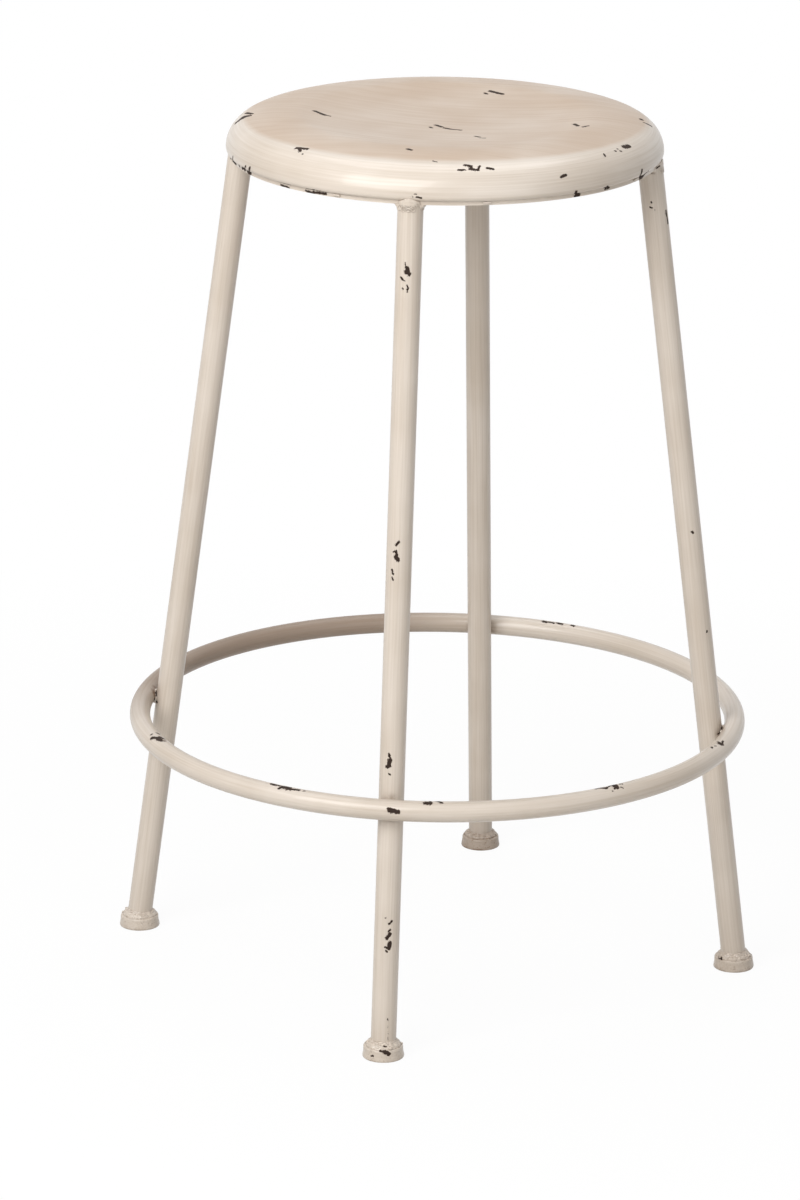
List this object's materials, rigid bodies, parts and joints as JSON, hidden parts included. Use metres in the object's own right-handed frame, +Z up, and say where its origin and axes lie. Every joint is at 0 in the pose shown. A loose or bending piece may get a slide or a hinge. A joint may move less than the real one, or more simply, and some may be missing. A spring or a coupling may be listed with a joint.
{
  "type": "stool",
  "caption": "Backless round-seat stool of welded steel tube: dished pan seat on splayed legs with a foot ring, in distressed cream enamel.",
  "frame": {"origin": "on the floor, under the middle of the seat", "axes": "+Z up; the legs stand midway between the X and Y axes, the front leg towards -X -Y and the right leg towards +X -Y"},
  "size_m": [0.4999, 0.5, 0.7],
  "materials": {
    "seat_enamel": "gloss enamel with brush streaks and dark chips",
    "frame_enamel": "gloss enamel with brush streaks and dark chips",
    "foot_enamel": "gloss enamel with glaze and dark chips",
    "weld_enamel": "painted weld bead with glaze in its hollows"
  },
  "bodies": {
    "root": {"seat_pan": "seat_enamel", "seat_ring": "seat_enamel", "pan_tacks": "seat_enamel", "foot_ring": "frame_enamel", "leg_front": "frame_enamel", "foot_front": "foot_enamel", "seat_weld_front": "weld_enamel", "ring_weld_front": "weld_enamel", "foot_weld_front": "weld_enamel", "leg_right": "frame_enamel", "foot_right": "foot_enamel", "seat_weld_right": "weld_enamel", "ring_weld_right": "weld_enamel", "foot_weld_right": "weld_enamel", "leg_back": "frame_enamel", "foot_back": "foot_enamel", "seat_weld_back": "weld_enamel", "ring_weld_back": "weld_enamel", "foot_weld_back": "weld_enamel", "leg_left": "frame_enamel", "foot_left": "foot_enamel", "seat_weld_left": "weld_enamel", "ring_weld_left": "weld_enamel", "foot_weld_left": "weld_enamel"}
  },
  "joints": []
}
